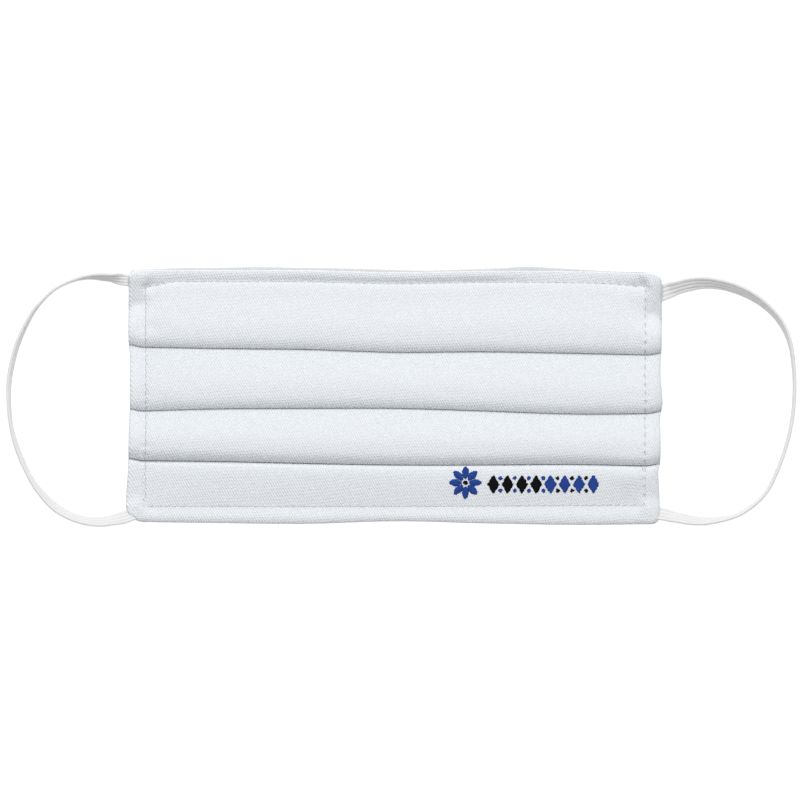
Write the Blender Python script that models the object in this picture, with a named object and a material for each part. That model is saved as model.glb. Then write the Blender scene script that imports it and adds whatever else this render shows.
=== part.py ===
"""Pleated cloth face mask with elastic ear loops, lying flat with its front face up.

The body is one wall of outer cloth and lining. Each section follows that wall from the top edge
to the bottom edge: down a panel, round a fold, back up behind it, round again and down the next
panel. The sections are lofted across the body, and flat pockets in its corners hold the ends of
the ear loops.

Metres. +X is to the right, +Y towards the top edge, which sits on the nose, and +Z out of the
front face. The mask lies on z = 0, and the origin is below the middle of the whole.
"""

import math
from bisect import bisect_right
from collections import namedtuple

import bmesh
import bpy
from mathutils import Matrix, Vector

MM = 0.001

# Body, with its pleats closed
BODY_WIDTH = 190 * MM
BODY_HEIGHT = 91 * MM
WALL = 1.0 * MM
PLEAT_DEPTH = 10 * MM
LAYER_GAP = 0.3 * MM
LAST_PANEL_CROWN = 0.6 * MM
CORNER_RADIUS = 3.0 * MM

# How far a fold stands open in the middle, the share of that at the sewn sides, the angle at which
# the top layer falls towards it, in degrees, and how far the fold's ends run up
FOLD_PUFF = 0.5 * MM
PUFF_AT_SIDES = 0.45
PUFF_GROWS_OVER = 45 * MM
FOLD_TILT = 16
FOLD_END_LIFT = 0.8 * MM

# Edges of the wall are rounded over this distance, down to this share of its thickness
EDGE_ROUND = 0.5 * MM
EDGE_SHARE = 0.7

# Hem along the top and bottom edges, up to its line of stitches. The places are shares of its
# width: it is full up to the fourth, and ends at the last.
HEM_WIDTH = 5.3 * MM
HEM_THICKNESS = 1.5 * MM
HEM_PLACES = (0.0, 0.06, 0.2, 0.55, 0.8, 1.05, 1.3)
HEM_FULL = HEM_PLACES[3]
HEM_END = HEM_PLACES[-1]

# Edge of the lining, which shows above the top edge
LINING_THICKNESS = 1.0 * MM
LINING_SHOWS = 1.0 * MM
LINING_TUCK = 2.3 * MM

# Ear loops and the pockets that hold their ends
STRAP_WIDTH = 6.0 * MM
STRAP_THICKNESS = 1.0 * MM
LEFT_REACH = 42.7 * MM
RIGHT_REACH = 47.6 * MM
STRAIGHT_END = 1.5 * MM
TWIST_LENGTH = 7.0 * MM
POCKET_DEPTH = 5.0 * MM
POCKET_WALL = 1.0 * MM
PAD_FADE = 2.5 * MM

# Space left between pieces that touch
CLEARANCE = 0.3 * MM

# Fineness of the solids
BODY_STEP = 11.5 * MM
STRAP_STEP = 3.4 * MM
CORNER_STEPS = 4
FOLD_STEPS = 5
TURN_STEPS = 4
SLOPE_STEPS = 4
TOP_STEPS = 4
LAST_PANEL_STEPS = 5
SMOOTH_ANGLE = 45

# Short step along a line, for its direction
PROBE = 0.1 * MM

# Levels of the three layers at a fold, at the middle of the wall
PITCH = WALL + LAYER_GAP
LOW_LAYER = WALL / 2
MIDDLE_LAYER = LOW_LAYER + PITCH
TOP_LAYER = MIDDLE_LAYER + PITCH

# Pocket of an ear loop, and the thickness of the corner around it
POCKET_WIDTH = STRAP_WIDTH + 2 * CLEARANCE
POCKET_HEIGHT = STRAP_THICKNESS + 2 * CLEARANCE
PAD_THICKNESS = POCKET_HEIGHT + 2 * POCKET_WALL
PAD_LENGTH = POCKET_DEPTH + POCKET_WALL
PAD_REACH = PAD_LENGTH + PAD_FADE

# Lines across the body. "across" is a share of the width from the left side, and the others are
# shares of the height, measured down from the top edge.
Lines = namedtuple("Lines", "across top fold_1 fold_2 fold_3 bottom")
LINES = (
    Lines(0.000, 0.006, 0.308, 0.561, 0.753, 0.996),
    Lines(0.167, 0.000, 0.314, 0.551, 0.757, 0.999),
    Lines(0.333, 0.000, 0.318, 0.549, 0.765, 1.000),
    Lines(0.500, 0.008, 0.329, 0.549, 0.771, 0.991),
    Lines(0.667, 0.002, 0.327, 0.559, 0.771, 0.998),
    Lines(0.833, 0.003, 0.333, 0.571, 0.769, 1.000),
    Lines(1.000, 0.015, 0.341, 0.569, 0.776, 0.996),
)
FOLDS = ("fold_1", "fold_2", "fold_3")

# Corners. "radius" is a share of CORNER_RADIUS, "inset" is where the pocket starts below the top
# edge or above the bottom edge, as a share of HEM_WIDTH, and "slope" is how steeply the sewn end
# runs inwards, towards the middle of the side, in degrees.
Corner = namedtuple("Corner", "side end radius inset slope")
CORNERS = (
    Corner("left", "top", 1.0, 0.22, 5),
    Corner("left", "bottom", 1.7, 0.22, 15),
    Corner("right", "top", 1.1, 0.95, 16),
    Corner("right", "bottom", 1.0, 0.22, 9),
)

# Ear loops, from the top corner round to the bottom one. "out" is a share of the loop's reach past
# the side, "down" is a share of the height from the top edge, and "lean" is how far the strap is
# turned up from lying flat, in degrees. Its upper edge leans outwards.
Bend = namedtuple("Bend", "out down lean")
LEFT_BENDS = (
    Bend(0.19, 0.036, 66),
    Bend(0.34, 0.035, 79),
    Bend(0.49, 0.053, 86),
    Bend(0.62, 0.085, 86),
    Bend(0.73, 0.133, 83),
    Bend(0.82, 0.190, 76),
    Bend(0.93, 0.303, 78),
    Bend(0.99, 0.420, 79),
    Bend(1.00, 0.510, 82),
    Bend(0.98, 0.620, 84),
    Bend(0.92, 0.718, 79),
    Bend(0.81, 0.830, 78),
    Bend(0.71, 0.892, 70),
    Bend(0.61, 0.938, 65),
    Bend(0.48, 0.973, 65),
    Bend(0.34, 0.992, 63),
    Bend(0.20, 0.993, 56),
)
RIGHT_BENDS = (
    Bend(0.19, 0.067, 36),
    Bend(0.32, 0.058, 47),
    Bend(0.45, 0.065, 57),
    Bend(0.58, 0.085, 60),
    Bend(0.70, 0.116, 66),
    Bend(0.81, 0.160, 71),
    Bend(0.90, 0.215, 74),
    Bend(0.96, 0.283, 80),
    Bend(0.99, 0.370, 84),
    Bend(1.00, 0.480, 86),
    Bend(0.98, 0.600, 86),
    Bend(0.93, 0.710, 86),
    Bend(0.86, 0.807, 86),
    Bend(0.79, 0.877, 86),
    Bend(0.70, 0.926, 85),
    Bend(0.58, 0.966, 82),
    Bend(0.46, 0.984, 77),
    Bend(0.32, 0.992, 66),
    Bend(0.19, 0.985, 56),
)

WallPoint = namedtuple("WallPoint", "down up heading thick")
SIDE_SIGN = {"left": -1, "right": 1}


def blend(start, stop, share):
    return start + (stop - start) * share


def ease(share):
    """0 to 1, starting and ending level."""
    share = min(max(share, 0.0), 1.0)
    return share * share * (3 - 2 * share)


def shares(count):
    """Even shares from just past 0 up to 1."""
    return [(i + 1) / count for i in range(count)]


def smooth_curve(knots, values, at):
    """The value at a place between knots, on one smooth curve through all of them."""
    i = min(max(bisect_right(knots, at) - 1, 0), len(knots) - 2)
    span = knots[i + 1] - knots[i]
    s = (at - knots[i]) / span
    leave = curve_slope(knots, values, i) * span
    arrive = curve_slope(knots, values, i + 1) * span
    start = values[i] * (2 * s**3 - 3 * s**2 + 1) + leave * (s**3 - 2 * s**2 + s)
    stop = values[i + 1] * (3 * s**2 - 2 * s**3) + arrive * (s**3 - s**2)
    return start + stop


def curve_slope(knots, values, i):
    before = max(i - 1, 0)
    after = min(i + 1, len(knots) - 1)
    return (values[after] - values[before]) / (knots[after] - knots[before])


# Lines and edges of the body

def line_down(name, x):
    """How far below the nominal top edge a line lies at x, with no corners rounded."""
    knots = [row.across for row in LINES]
    values = [getattr(row, name) for row in LINES]
    return BODY_HEIGHT * smooth_curve(knots, values, x / BODY_WIDTH + 0.5)


def side_distance(x):
    return BODY_WIDTH / 2 - abs(x)


def corner_at(x, end):
    side = "left" if x < 0 else "right"
    return next(c for c in CORNERS if c.side == side and c.end == end)


def corner_cut(x, end):
    """How much the rounded corner takes off the top or bottom edge at x."""
    radius = CORNER_RADIUS * corner_at(x, end).radius
    inside = radius - side_distance(x)
    if inside <= 0:
        return 0.0
    return radius - math.sqrt(max(radius**2 - inside**2, 0.0))


def fold_down(name, x):
    lift = FOLD_END_LIFT * (1 - ease(side_distance(x) / HEM_WIDTH))
    return line_down(name, x) - lift


def edge_share(distance):
    """The share of the wall's thickness that is left this near to an edge."""
    near = max(1 - distance / EDGE_ROUND, 0.0)
    return max(math.sqrt(1 - near**2), EDGE_SHARE)


# Corner pads and pockets

def pocket_mouth(corner):
    """The middle of the pocket where it meets the side: x, and distance down."""
    x = SIDE_SIGN[corner.side] * BODY_WIDTH / 2
    inset = HEM_WIDTH * corner.inset + POCKET_WIDTH / 2
    if corner.end == "top":
        return Vector((x, inset))
    return Vector((x, BODY_HEIGHT - inset))


def pocket_direction(corner):
    """The way into the pocket, as x and distance down."""
    slope = math.radians(corner.slope)
    inwards = -SIDE_SIGN[corner.side] * math.cos(slope)
    downwards = math.sin(slope) if corner.end == "top" else -math.sin(slope)
    return Vector((inwards, downwards))


def pad_share(x, down):
    """1 where the wall is thickened for a pocket, fading to 0 around it."""
    return max(one_pad_share(corner, x, down) for corner in CORNERS)


def one_pad_share(corner, x, down):
    from_mouth = Vector((x, down)) - pocket_mouth(corner)
    direction = pocket_direction(corner)
    along = from_mouth.dot(direction)
    aside = (from_mouth - along * direction).length
    past_end = (along - PAD_LENGTH) / PAD_FADE
    past_side = (aside - POCKET_WIDTH / 2 - POCKET_WALL) / PAD_FADE
    return (1 - ease(past_end)) * (1 - ease(past_side))


# Sections of the wall

def hem_share(x, down):
    """1 in the hems along the top and bottom edges, fading to 0 past their stitches."""
    from_top = down - top_edge(x)
    from_bottom = bottom_edge(x) - down
    past = min(from_top, from_bottom) / HEM_WIDTH
    return 1 - ease((past - HEM_FULL) / (HEM_END - HEM_FULL))


def top_edge(x):
    return line_down("top", x) + corner_cut(x, "top")


def bottom_edge(x):
    return line_down("bottom", x) - corner_cut(x, "bottom")


def thickness(x, down):
    plain = blend(WALL, HEM_THICKNESS, hem_share(x, down))
    return blend(plain, PAD_THICKNESS, pad_share(x, down))


def underside(x, down):
    """The height of the wall's back. The top hem is raised over the edge of the lining."""
    if down > BODY_HEIGHT / 2:
        return 0.0
    raised = (LINING_THICKNESS + CLEARANCE) * hem_share(x, down)
    return raised * (1 - pad_share(x, down))


def lying_height(x, down):
    return underside(x, down) + thickness(x, down) / 2


def puff(x):
    """How much further than a pressed fold a fold stands open: less at the sewn sides."""
    return FOLD_PUFF * blend(PUFF_AT_SIDES, 1.0, ease(side_distance(x) / PUFF_GROWS_OVER))


def fold_radius(x):
    return (PITCH + puff(x)) / 2


def fold_centre(fold, x):
    return fold_down(fold, x) - WALL / 2 - fold_radius(x)


def turn_centre(fold, x):
    return fold_down(fold, x) - PLEAT_DEPTH


def slope_end(fold, x):
    """Where a panel has risen to the top layer, just above the hidden turn of the next pleat."""
    return turn_centre(fold, x) - PITCH / 2 - WALL


def fold_start(fold, x):
    """Where the top layer meets the round of its fold, already tilted down: down, and up."""
    tilt = math.radians(FOLD_TILT)
    radius = fold_radius(x)
    down = fold_centre(fold, x) + radius * math.sin(tilt)
    return down, MIDDLE_LAYER + radius * (1 + math.cos(tilt))


def top_layer_height(fold, x, down):
    """The top layer, which leaves its slope level and falls at the fold's tilt to the fold."""
    flat = slope_end(fold, x)
    end_down, end_up = fold_start(fold, x)
    length = end_down - flat
    share = (down - flat) / length
    fall = math.tan(math.radians(FOLD_TILT)) * length
    return blend(TOP_LAYER, end_up, ease(share)) + fall * share**2 * (1 - share)


def run_of_wall(places, height, thick):
    """Wall points at these distances down, where height(down) gives the middle of the wall."""
    step = WALL / 4
    points = []
    for down in places:
        rise = (height(down + step) - height(down - step)) / (2 * step)
        points.append(WallPoint(down, height(down), math.atan(rise), thick(down)))
    return points


def pleat(fold, x):
    """Round the fold, back up behind it, and round the hidden turn."""
    points = []
    radius = fold_radius(x)
    centre = fold_centre(fold, x)
    first_angle = math.pi / 2 - math.radians(FOLD_TILT)
    for share in shares(FOLD_STEPS):
        angle = blend(first_angle, -math.pi / 2, share)
        down = centre + radius * math.cos(angle)
        up = MIDDLE_LAYER + radius + radius * math.sin(angle)
        points.append(WallPoint(down, up, angle - math.pi / 2, WALL))
    centre = turn_centre(fold, x)
    radius = PITCH / 2
    for share in [0.0] + shares(TURN_STEPS):
        angle = math.pi * (0.5 + share)
        down = centre + radius * math.cos(angle)
        up = LOW_LAYER + radius + radius * math.sin(angle)
        points.append(WallPoint(down, up, angle + math.pi / 2, WALL))
    return points


def panel(start, fold, x, low_height, thick):
    """From where a panel shows, up its slope and along the top layer to the next fold."""
    flat = slope_end(fold, x)

    def height(down):
        climb = ease((down - start) / (flat - start))
        if climb < 1:
            return blend(low_height(down), TOP_LAYER, climb)
        return top_layer_height(fold, x, down)

    slope = [blend(start, flat, share) for share in shares(SLOPE_STEPS)]
    top = [blend(flat, fold_start(fold, x)[0], share) for share in shares(TOP_STEPS)]
    return run_of_wall(slope + top, height, thick)


def wall_section(x):
    """The middle line of the wall at x, from the top edge to the bottom edge."""

    def thick(down):
        return thickness(x, down)

    def lying(down):
        return lying_height(x, down)

    points = run_of_wall([top_edge(x) + place for place in hem_places()], lying, thick)
    start = top_edge(x) + HEM_WIDTH * HEM_END
    for fold in FOLDS:
        points += panel(start, fold, x, lying, thick)
        points += pleat(fold, x)
        start = fold_down(fold, x)
        points.append(WallPoint(start, LOW_LAYER, 0.0, WALL))
    return points + last_panel(start, x, lying, thick)


def last_panel(start, x, low_height, thick):
    """From the last fold to the bottom edge, a little crowned down to its hem."""
    stitches = bottom_edge(x) - HEM_WIDTH
    hem_start = bottom_edge(x) - HEM_WIDTH * HEM_END

    def height(down):
        share = min(max((down - start) / (stitches - start), 0.0), 1.0)
        crown = LAST_PANEL_CROWN * math.sin(math.pi * share)
        return low_height(down) + crown * (1 - pad_share(x, down))

    shown = [blend(start, hem_start, share) for share in shares(LAST_PANEL_STEPS)]
    hem = [bottom_edge(x) - place for place in reversed(hem_places()[:-1])]
    return run_of_wall(shown + hem, height, thick)


def hem_places():
    return [HEM_WIDTH * share for share in HEM_PLACES]


def wall_surfaces(x):
    """The front and back points of the wall at x, as one row of pairs."""
    line = wall_section(x)
    pairs = []
    for point in line:
        from_edge = min(point.down - line[0].down, line[-1].down - point.down)
        half = point.thick / 2 * min(edge_share(from_edge), edge_share(side_distance(x)))
        normal = Vector((-math.sin(point.heading), math.cos(point.heading)))
        middle = Vector((point.down, point.up))
        pairs.append([in_space(x, middle + side * half * normal) for side in (1, -1)])
    return pairs


def in_space(x, down_and_up):
    return Vector((x, BODY_HEIGHT / 2 - down_and_up.x, down_and_up.y))


def body_stations():
    """Places across the body: close together round the corners and pads, even between them."""
    largest = CORNER_RADIUS * max(corner.radius for corner in CORNERS)
    arc = [largest * (1 - math.cos(math.pi / 2 * i / CORNER_STEPS)) for i in range(CORNER_STEPS)]
    ends = arc + [PAD_LENGTH, PAD_LENGTH + PAD_FADE / 2, PAD_REACH]
    inner = BODY_WIDTH - 2 * PAD_REACH
    count = max(round(inner / BODY_STEP), 2)
    middle = [PAD_REACH + inner * share for share in shares(count)]
    places = ends + middle + [BODY_WIDTH - place for place in reversed(ends[:-1])]
    return [place - BODY_WIDTH / 2 for place in places]


# Ear loops

def strap_half_height(lean):
    return (STRAP_WIDTH * math.sin(lean) + STRAP_THICKNESS * math.cos(lean)) / 2


def sewn_end(corner, distance):
    """A point on the pocket's middle line, this far in from its mouth."""
    place = pocket_mouth(corner) + distance * pocket_direction(corner)
    return Vector((place.x, BODY_HEIGHT / 2 - place.y))


def loop_route(side, reach, bends):
    """Points in plan along the strap's middle, and its lean at each."""
    top, bottom = [corner for corner in CORNERS if corner.side == side]
    buried = POCKET_DEPTH - CLEARANCE
    points = [sewn_end(top, distance) for distance in (buried, 0.0, -STRAIGHT_END)]
    for bend in bends:
        x = SIDE_SIGN[side] * (BODY_WIDTH / 2 + reach * bend.out)
        points.append(Vector((x, BODY_HEIGHT * (0.5 - bend.down))))
    points += [sewn_end(bottom, distance) for distance in (-STRAIGHT_END, 0.0, buried)]
    leans = [bends[0].lean] * 3 + [bend.lean for bend in bends] + [bends[-1].lean] * 3
    return points, leans


def strap_rings(side, reach, bends):
    """Cross-sections along the strap: flat in its pockets, and turned up on edge between them."""
    points, leans = loop_route(side, reach, bends)
    knots = [0.0]
    for here, there in zip(points, points[1:]):
        knots.append(knots[-1] + (there - here).length)
    rings = []
    for first, last in zip(knots, knots[1:]):
        count = max(round((last - first) / STRAP_STEP), 1)
        for share in ([0.0] if first == 0.0 else []) + shares(count):
            at = blend(first, last, share)
            outside = min(at - knots[1], knots[-2] - at)
            turned = ease(outside / TWIST_LENGTH)
            lean = math.radians(smooth_curve(knots, leans, at)) * turned
            lift = (PAD_THICKNESS - STRAP_THICKNESS) / 2 * (1 - ease(outside / (2 * TWIST_LENGTH)))
            middle = smooth_curve(knots, points, at)
            along = smooth_curve(knots, points, at + PROBE) - middle
            rings.append(strap_ring(side, middle, along, lean, lift))
    return rings


def strap_ring(side, middle, along, lean, lift):
    along = along.normalized()
    outwards = Vector((along.y, -along.x)) * -SIDE_SIGN[side]
    width = Vector((outwards.x * math.cos(lean), outwards.y * math.cos(lean), math.sin(lean)))
    through = Vector((-outwards.x * math.sin(lean), -outwards.y * math.sin(lean), math.cos(lean)))
    centre = Vector((middle.x, middle.y, strap_half_height(lean) + lift))
    half_width = STRAP_WIDTH / 2
    half_thick = STRAP_THICKNESS / 2
    bevel = STRAP_THICKNESS / 4
    outline = (
        (half_width, half_thick - bevel),
        (half_width - bevel, half_thick),
        (bevel - half_width, half_thick),
        (-half_width, half_thick - bevel),
        (-half_width, bevel - half_thick),
        (bevel - half_width, -half_thick),
        (half_width - bevel, -half_thick),
        (half_width, bevel - half_thick),
    )
    return [centre + width * across + through * up for across, up in outline]


# Edge of the lining

def lining_ring(x):
    """The strip's section: it lies under the raised hem and shows beyond the top edge."""
    outer = BODY_HEIGHT / 2 - line_down("top", x) + LINING_SHOWS
    inner = outer - LINING_SHOWS - LINING_TUCK
    bevel = LINING_THICKNESS / 3
    outline = (
        (outer, 0.0),
        (outer, LINING_THICKNESS - bevel),
        (outer - bevel, LINING_THICKNESS),
        (inner, LINING_THICKNESS),
        (inner, 0.0),
    )
    return [Vector((x, y, z)) for y, z in outline]


def lining_rings():
    half = BODY_WIDTH / 2 - PAD_REACH - CLEARANCE
    count = max(round(2 * half / BODY_STEP), 2)
    return [lining_ring(blend(-half, half, share)) for share in [0.0] + shares(count)]


# Meshes and objects

def finished_object(mesh_builder, name, collection, material):
    """An object from a bmesh, in flat triangles turned outwards, with round parts shaded smooth."""
    bmesh.ops.recalc_face_normals(mesh_builder, faces=mesh_builder.faces)
    bmesh.ops.triangulate(mesh_builder, faces=mesh_builder.faces)
    mesh = bpy.data.meshes.new(name)
    mesh_builder.to_mesh(mesh)
    mesh_builder.free()
    mesh.shade_smooth()
    mesh.set_sharp_from_angle(angle=math.radians(SMOOTH_ANGLE))
    if material:
        mesh.materials.append(material)
    piece = bpy.data.objects.new(name, mesh)
    collection.objects.link(piece)
    return piece


def loft_wall(stations):
    """A closed wall through rows of front and back points."""
    builder = bmesh.new()
    rows = [[[builder.verts.new(p) for p in pair] for pair in station] for station in stations]
    for row, following in zip(rows, rows[1:]):
        for here, there, here_2, there_2 in zip(row, following, row[1:], following[1:]):
            builder.faces.new((here[0], here_2[0], there_2[0], there[0]))
            builder.faces.new((here[1], there[1], there_2[1], here_2[1]))
        for last in (0, -1):
            edge = (row[last][0], row[last][1], following[last][1], following[last][0])
            builder.faces.new(edge)
    for row in (rows[0], rows[-1]):
        for here, there in zip(row, row[1:]):
            builder.faces.new((here[0], here[1], there[1], there[0]))
    return builder


def loft_rings(rings):
    """A closed tube through rings of points, with flat ends."""
    builder = bmesh.new()
    loops = [[builder.verts.new(p) for p in ring] for ring in rings]
    for loop, following in zip(loops, loops[1:]):
        for i in range(len(loop)):
            j = (i + 1) % len(loop)
            builder.faces.new((loop[i], loop[j], following[j], following[i]))
    builder.faces.new(loops[0])
    builder.faces.new(loops[-1])
    return builder


def cloth_material(name, colour, roughness):
    material = bpy.data.materials.new(name)
    material.use_nodes = True
    shader = material.node_tree.nodes["Principled BSDF"]
    shader.inputs["Base Color"].default_value = (*colour, 1.0)
    shader.inputs["Roughness"].default_value = roughness
    shader.inputs["Metallic"].default_value = 0.0
    material.diffuse_color = (*colour, 1.0)
    return material


def pocket_cutter(corner, collection):
    """A flat box that runs from outside the side edge to the end of the pocket."""
    outside = CORNER_RADIUS * corner.radius + POCKET_WALL
    length = POCKET_DEPTH + outside
    builder = bmesh.new()
    bmesh.ops.create_cube(builder, size=1.0)
    size = Matrix.Diagonal((length, POCKET_WIDTH, POCKET_HEIGHT, 1.0))
    bmesh.ops.transform(builder, matrix=size, verts=builder.verts)
    cutter = finished_object(builder, f"pocket_{corner.side}_{corner.end}", collection, None)
    middle = sewn_end(corner, POCKET_DEPTH - length / 2)
    direction = pocket_direction(corner)
    cutter.location = (middle.x, middle.y, PAD_THICKNESS / 2)
    cutter.rotation_euler.z = math.atan2(-direction.y, direction.x)
    cutter.hide_render = True
    cutter.display_type = "WIRE"
    return cutter


def cut_pocket(body, cutter):
    cut = body.modifiers.new(cutter.name, "BOOLEAN")
    cut.operation = "DIFFERENCE"
    cut.solver = "EXACT"
    cut.object = cutter


# The mask

def make_panel(collection, cutters):
    cloth = cloth_material("cloth", (0.84, 0.87, 0.90), 0.9)
    builder = loft_wall([wall_surfaces(x) for x in body_stations()])
    body = finished_object(builder, "pleated_panel", collection, cloth)
    for corner in CORNERS:
        cut_pocket(body, pocket_cutter(corner, cutters))


def make_lining_edge(collection):
    lining = cloth_material("lining", (0.88, 0.88, 0.87), 0.9)
    finished_object(loft_rings(lining_rings()), "lining_edge", collection, lining)


def make_ear_loops(collection):
    elastic = cloth_material("elastic", (0.86, 0.86, 0.86), 0.75)
    for side, reach, bends in (
        ("left", LEFT_REACH, LEFT_BENDS),
        ("right", RIGHT_REACH, RIGHT_BENDS),
    ):
        builder = loft_rings(strap_rings(side, reach, bends))
        finished_object(builder, f"ear_loop_{side}", collection, elastic)


def centre_on_origin(collection, cutters):
    """Move everything so that the origin is below the middle of the whole mask."""
    corners = [vertex.co for piece in collection.objects for vertex in piece.data.vertices]
    middle_x = (min(p.x for p in corners) + max(p.x for p in corners)) / 2
    middle_y = (min(p.y for p in corners) + max(p.y for p in corners)) / 2
    for piece in list(collection.objects) + list(cutters.objects):
        piece.location -= Vector((middle_x, middle_y, 0.0))


def new_collection(name):
    collection = bpy.data.collections.new(name)
    bpy.context.scene.collection.children.link(collection)
    return collection


def main():
    for leftover in list(bpy.data.objects):
        bpy.data.objects.remove(leftover, do_unlink=True)
    mask = new_collection("face_mask")
    cutters = new_collection("cutters")
    make_panel(mask, cutters)
    make_lining_edge(mask)
    make_ear_loops(mask)
    centre_on_origin(mask, cutters)


main()
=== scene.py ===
"""Looks of a pleated cloth face mask with elastic ear loops, lying flat with its front face up.

Metres, in the frame's axes. A place on the body is its x from the middle of the body and its
distance down from the nominal top edge, as in the solids. The outer cloth and the lining are two
plies that follow the same pleats. Wrinkles, seams and puckers squash or swell all the layers at a
place together, so that no layer passes through another.
"""

import math
from bisect import bisect_right
from collections import namedtuple

import bmesh
import bpy
import numpy as np
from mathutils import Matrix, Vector, noise
from mathutils.bvhtree import BVHTree


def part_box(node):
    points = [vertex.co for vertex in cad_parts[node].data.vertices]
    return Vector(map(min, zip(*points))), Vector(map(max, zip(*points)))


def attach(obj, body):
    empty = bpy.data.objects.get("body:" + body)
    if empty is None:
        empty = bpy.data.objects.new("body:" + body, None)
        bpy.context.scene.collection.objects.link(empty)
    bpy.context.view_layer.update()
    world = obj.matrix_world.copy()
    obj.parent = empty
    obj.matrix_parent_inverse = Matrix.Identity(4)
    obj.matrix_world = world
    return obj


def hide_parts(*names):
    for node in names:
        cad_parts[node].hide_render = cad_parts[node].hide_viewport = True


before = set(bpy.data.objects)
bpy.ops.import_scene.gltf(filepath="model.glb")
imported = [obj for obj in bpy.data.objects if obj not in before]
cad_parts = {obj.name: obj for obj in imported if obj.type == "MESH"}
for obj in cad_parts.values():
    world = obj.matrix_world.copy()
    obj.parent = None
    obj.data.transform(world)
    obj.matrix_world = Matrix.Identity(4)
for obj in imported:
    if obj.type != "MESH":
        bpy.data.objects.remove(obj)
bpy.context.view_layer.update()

MM = 0.001

# The body, from the frame, and the named sizes of its solids
BODY_LOW, BODY_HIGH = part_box("pleated_panel")
BODY_WIDTH = BODY_HIGH.x - BODY_LOW.x
BODY_HEIGHT = 91 * MM
TOP_WAVE = 0.07 * MM
MIDDLE_X = (BODY_LOW.x + BODY_HIGH.x) / 2
TOP_Y = BODY_HIGH.y - TOP_WAVE
WALL = 1.0 * MM
PLEAT_DEPTH = 10 * MM
LAYER_GAP = 0.3 * MM
PITCH = WALL + LAYER_GAP
LOW_LAYER = WALL / 2
MIDDLE_LAYER = LOW_LAYER + PITCH
TOP_LAYER = MIDDLE_LAYER + PITCH
PLY = 0.44 * MM

# Folds: how far they stand open, how the layer above rises and then falls to them, how the fold
# is pressed down along its line, and how its ends run up
FOLD_PUFF = 0.15 * MM
PUFF_AT_SIDES = 0.45
PUFF_GROWS_OVER = 45 * MM
FOLD_TILT = math.radians(60)
FALL_POWERS = {"fold_1": 8.2, "fold_2": 7.6, "fold_3": 5.6}
CREST_PAST_SLOPE = 5.0 * MM
FOLD_PRESS = 0.22
PRESS_HALF_WIDTH = 2.6 * MM
FOLD_END_LIFT = 0.8 * MM
STEP_SHARE = 0.2
STEP_LENGTH = 0.8 * MM
CLIMB_EVENS_OUT = 9 * MM
LAST_PANEL_CROWN = 2.1 * MM
CROWN_RISE = 0.095
CROWN_POWER = 1.6

# Hems, and the edge of the lining that shows above the top one
HEM_WIDTH = 5.3 * MM
SIDE_WAVE_REACH = 4 * HEM_WIDTH
HEM_THICKNESS = 1.7 * MM
HEM_RISE = 4.0 * MM
TOP_HEM_END = 4.3 * MM
BOTTOM_HEM_END = 6.4 * MM
WELT_CREST = 0.9 * MM
WELT_FALL = 1.55 * MM
SIDE_FALL_POWER = 1.5
STITCHED_HEIGHT = 1.7 * MM
PAST_STITCHES = 20 * MM
PUFF_PAST_STITCHES = 0.55 * MM
PUFF_LENGTH = 4.0 * MM
EDGE_ROUND = 0.7 * MM
EDGE_PLACES = (0.0, 0.1, 0.3, 0.6)
TOP_ROUND = 0.35 * MM
BOTTOM_ROUND = 2.6 * MM
EDGE_SHARE = 0.3
CLOSING_SHARE = 0.2
MOUTH_CLOSING = 4
SEWN_GAP = 0.04 * MM
LINING_HEIGHT = 0.7 * MM
LINING_LIFT = 0.95 * MM
LINING_TUCK = 2.3 * MM

# Ear loops and their pockets
STRAP_WIDTH = 6.0 * MM
STRAP_THICKNESS = 1.0 * MM
LEFT_REACH = 42.7 * MM
RIGHT_REACH = 47.6 * MM
STRAIGHT_END = 1.5 * MM
TWIST_LENGTH = 7.0 * MM
POCKET_DEPTH = 5.0 * MM
POCKET_WALL = 1.0 * MM
PAD_THICKNESS = 2.1 * MM
PAD_FADE = 2.5 * MM
PAD_PINCH = 1.2 * MM
PAD_LENGTH = POCKET_DEPTH + POCKET_WALL
PAD_REACH = PAD_LENGTH + PAD_FADE
CORNER_RADIUS = 3.0 * MM
CLEARANCE = 0.3 * MM

# Camera: the width that the photograph's frame spans, and its middle from the middle of the body
VIEW_WIDTH = 285.4 * MM
VIEW_MIDDLE = Vector((1.86 * MM, -1.61 * MM))
LENS = 800.0
SENSOR = 36.0

# Lines across the body. "across" is a share of the width from the left side, and the others are
# shares of the height, measured down from the top edge. The folds lie as in the solids, and the
# top and bottom edges are brought a little nearer to the photograph.
Lines = namedtuple("Lines", "across top fold_1 fold_2 fold_3 bottom")
LINES = (
    Lines(0.000, 0.006, 0.308, 0.561, 0.753, 0.995),
    Lines(0.167, 0.008, 0.314, 0.551, 0.757, 1.000),
    Lines(0.333, 0.008, 0.318, 0.549, 0.765, 1.003),
    Lines(0.500, 0.016, 0.329, 0.549, 0.771, 0.993),
    Lines(0.667, 0.011, 0.327, 0.559, 0.771, 1.001),
    Lines(0.833, 0.012, 0.333, 0.571, 0.769, 1.007),
    Lines(1.000, 0.023, 0.341, 0.569, 0.776, 1.004),
)
FOLDS = ("fold_1", "fold_2", "fold_3")

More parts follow.
